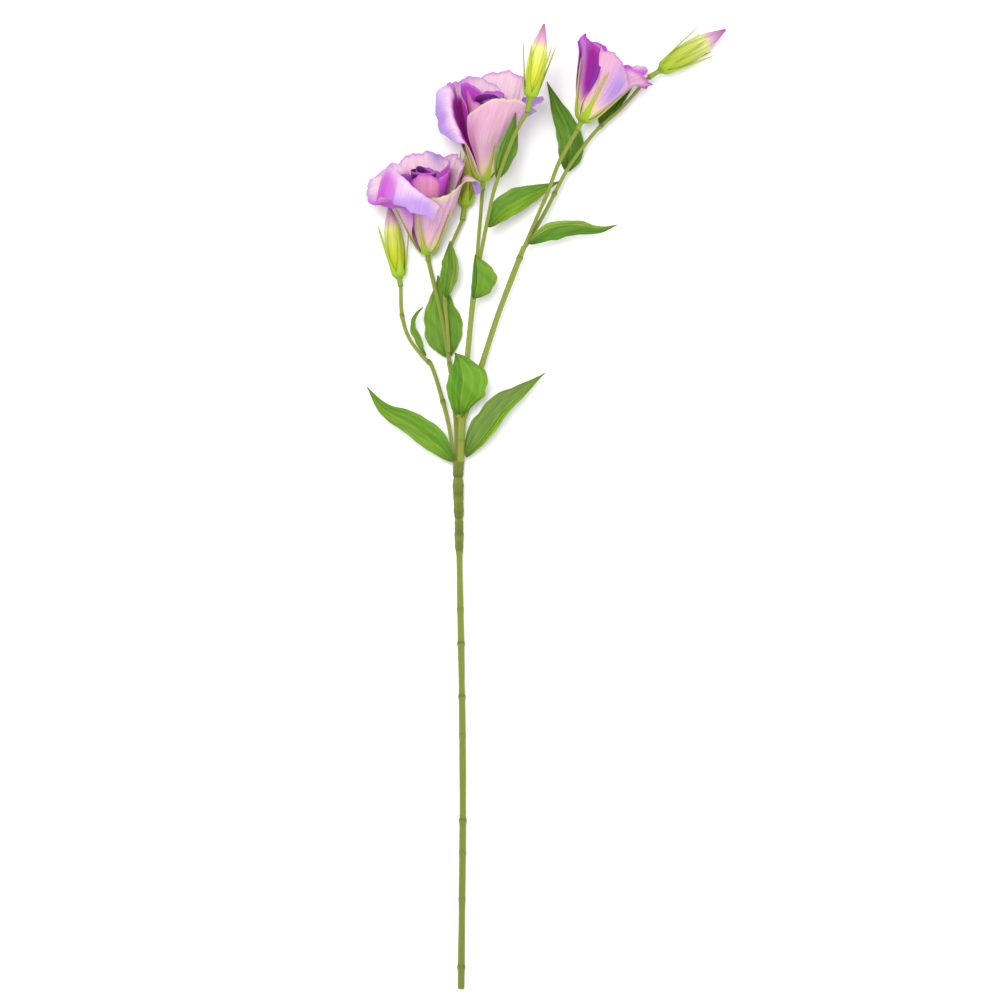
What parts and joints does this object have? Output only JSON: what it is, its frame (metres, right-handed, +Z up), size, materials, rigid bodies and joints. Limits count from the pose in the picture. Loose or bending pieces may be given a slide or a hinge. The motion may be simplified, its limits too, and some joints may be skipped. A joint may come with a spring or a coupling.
{
  "type": "cut lisianthus spray",
  "caption": "A cut lisianthus spray lying on a surface: a jointed stem that branches to pink and lilac cup-shaped flowers, furled buds in needle sepals, and pointed leaves",
  "frame": {"origin": "On the surface that the spray lies on, under the middle of its box", "axes": "+Z up from the surface; +Y from the cut end of the stem to the flowers; +X to the right of someone who looks down on it with the flowers at the top"},
  "size_m": [0.2211, 0.594, 0.0743],
  "materials": {
    "stem": "ribbed olive green, satin",
    "leaf": "veined green, lighter along the folds, matt",
    "calyx": "yellow green, satin",
    "bud": "lime yellow that fades to a pale pink and magenta tip, matt",
    "petal": "pale pink with fine veins, cream at the base and lilac at the rim, matt",
    "inner_petal": "magenta that deepens to purple, matt"
  },
  "bodies": {
    "root": {"centre_stem": "stem", "folded_leaf": "leaf", "front_leaf": "leaf", "hidden_bud": "bud", "hidden_bud_branch": "stem", "hidden_bud_calyx": "calyx", "left_bud": "bud", "left_bud_branch": "stem", "left_bud_calyx": "calyx", "left_flower_branch": "stem", "left_flower_calyx": "calyx", "left_flower_heart": "inner_petal", "left_flower_inner_petal_1": "inner_petal", "left_flower_inner_petal_2": "inner_petal", "left_flower_inner_petal_3": "inner_petal", "left_flower_inner_petal_4": "inner_petal", "left_flower_outer_petal_1": "petal", "left_flower_outer_petal_2": "petal", "left_flower_outer_petal_3": "petal", "left_flower_outer_petal_4": "petal", "left_flower_outer_petal_5": "petal", "long_leaf": "leaf", "lower_left_leaf": "leaf", "lower_right_leaf": "leaf", "main_stem": "stem", "middle_branch": "stem", "middle_flower_branch": "stem", "middle_flower_calyx": "calyx", "middle_flower_heart": "inner_petal", "middle_flower_inner_petal_1": "inner_petal", "middle_flower_inner_petal_2": "inner_petal", "middle_flower_inner_petal_3": "inner_petal", "middle_flower_inner_petal_4": "inner_petal", "middle_flower_outer_petal_1": "petal", "middle_flower_outer_petal_2": "petal", "middle_flower_outer_petal_3": "petal", "middle_flower_outer_petal_4": "petal", "middle_flower_outer_petal_5": "petal", "narrow_leaf": "leaf", "outer_right_leaf": "leaf", "oval_leaf": "leaf", "pointed_leaf": "leaf", "right_branch": "stem", "right_bud": "bud", "right_bud_branch": "stem", "right_bud_calyx": "calyx", "right_flower_branch": "stem", "right_flower_calyx": "calyx", "right_flower_outer_petal_1": "petal", "right_flower_outer_petal_2": "petal", "right_flower_outer_petal_3": "petal", "right_flower_outer_petal_4": "petal", "right_flower_outer_petal_5": "petal", "stem_sleeve": "stem", "top_bud": "bud", "top_bud_branch": "stem", "top_bud_calyx": "calyx", "top_bud_leaf": "leaf", "under_flower_leaf": "leaf", "wing_leaf": "leaf"}
  },
  "joints": []
}
